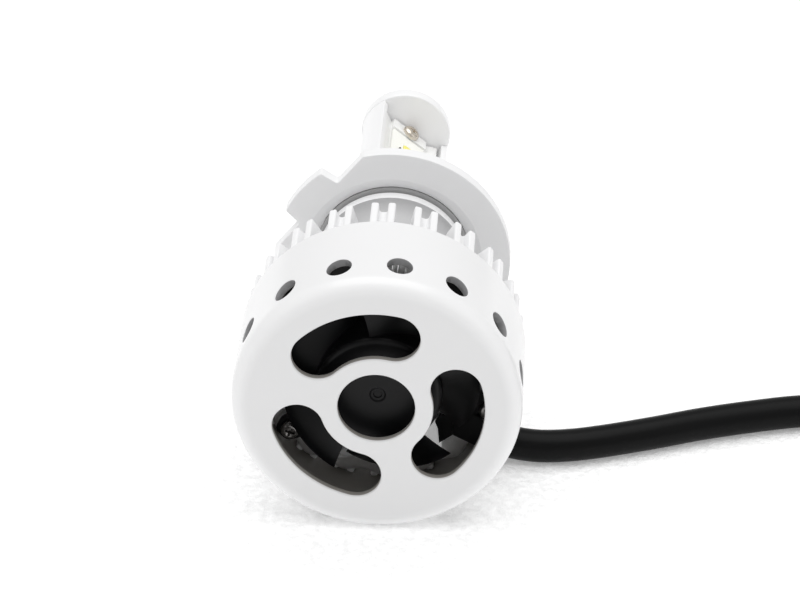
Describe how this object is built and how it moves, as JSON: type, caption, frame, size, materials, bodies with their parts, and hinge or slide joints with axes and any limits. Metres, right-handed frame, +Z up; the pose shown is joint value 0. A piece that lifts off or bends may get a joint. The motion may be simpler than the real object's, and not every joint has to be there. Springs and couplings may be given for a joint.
{
  "type": "led headlight bulb",
  "caption": "LED headlight bulb with a white rear fan cover, forked-fin heat sink, keyed mounting collar, windowed lamp sleeve, in-line driver and two-blade plug.",
  "frame": {"origin": "on the surface the bulb lies on, below the middle of its length and of its width; the cable, driver and plug are left out of that box", "axes": "+Y along the bulb from the rear fan cover to the lamp tip, +Z up, +X to the side the cable leaves"},
  "size_m": [0.159, 0.1256, 0.04],
  "materials": {
    "white_paint": "satin",
    "fin_metal": "satin",
    "collar_metal": "satin",
    "bare_metal": "machined",
    "core_steel": "stamped",
    "screw_steel": "bright",
    "black_plastic": "satin",
    "black_rubber": "smooth satin",
    "grey_rubber": "smooth satin",
    "driver_metal": "dark anodised",
    "board_white": "smooth",
    "board_green": "smooth",
    "phosphor": "smooth",
    "copper": "enamelled wire",
    "brass": "plated",
    "magnet": "sintered",
    "red_insulation": "smooth",
    "wrap": "shrunk sleeve"
  },
  "bodies": {
    "bulb": {"fan_cover": "white_paint", "heat_sink": "fin_metal", "neck": "fin_metal", "cable_grommet": "black_rubber", "lamp_lead_red": "red_insulation", "lamp_lead_black": "black_rubber", "fan_lead": "black_rubber", "neck_screw_1": "screw_steel", "neck_screw_2": "screw_steel", "neck_screw_3": "screw_steel", "fan_bearing": "brass", "fan_base": "black_plastic", "fan_circuit_board": "board_green", "stator_core": "core_steel", "stator_coil_1": "copper", "stator_coil_2": "copper", "stator_coil_3": "copper", "stator_coil_4": "copper", "fan_screw_1": "screw_steel", "fan_screw_2": "screw_steel", "fan_screw_3": "screw_steel", "collar_o_ring": "grey_rubber", "lamp_sleeve": "collar_metal", "tip_cap": "collar_metal", "led_blade": "bare_metal", "blade_screw": "brass", "led_board_upper": "board_white", "led_board_lower": "board_white", "led_row_upper": "phosphor", "led_row_lower": "phosphor", "lamp_cable": "black_rubber", "driver_housing": "driver_metal", "driver_cap_in": "black_plastic", "driver_cap_out": "black_plastic", "driver_gland_in": "black_rubber", "driver_gland_out": "black_rubber", "driver_board": "board_green", "driver_inductor": "copper", "driver_capacitor": "wrap", "plug_cable": "black_rubber", "plug_housing": "black_plastic", "plug_seal": "black_rubber", "plug_terminal_1": "brass", "plug_terminal_2": "brass", "driver_screw_1": "screw_steel", "driver_screw_2": "screw_steel", "driver_screw_3": "screw_steel", "driver_screw_4": "screw_steel"},
    "fan": {"fan_rotor": "black_plastic", "rotor_magnet": "magnet", "fan_shaft": "screw_steel", "shaft_clip": "screw_steel"},
    "collar": {"mount_collar": "collar_metal"}
  },
  "joints": [
    {"name": "fan_spin", "type": "hinge", "parent": "bulb", "child": "fan", "pos_m": [0, -0.033, 0.02], "axis": [0, 1, 0], "continuous": true},
    {"name": "collar_turn", "type": "hinge", "parent": "bulb", "child": "collar", "pos_m": [0, 0.0015, 0.02], "axis": [0, 1, 0], "continuous": true}
  ]
}
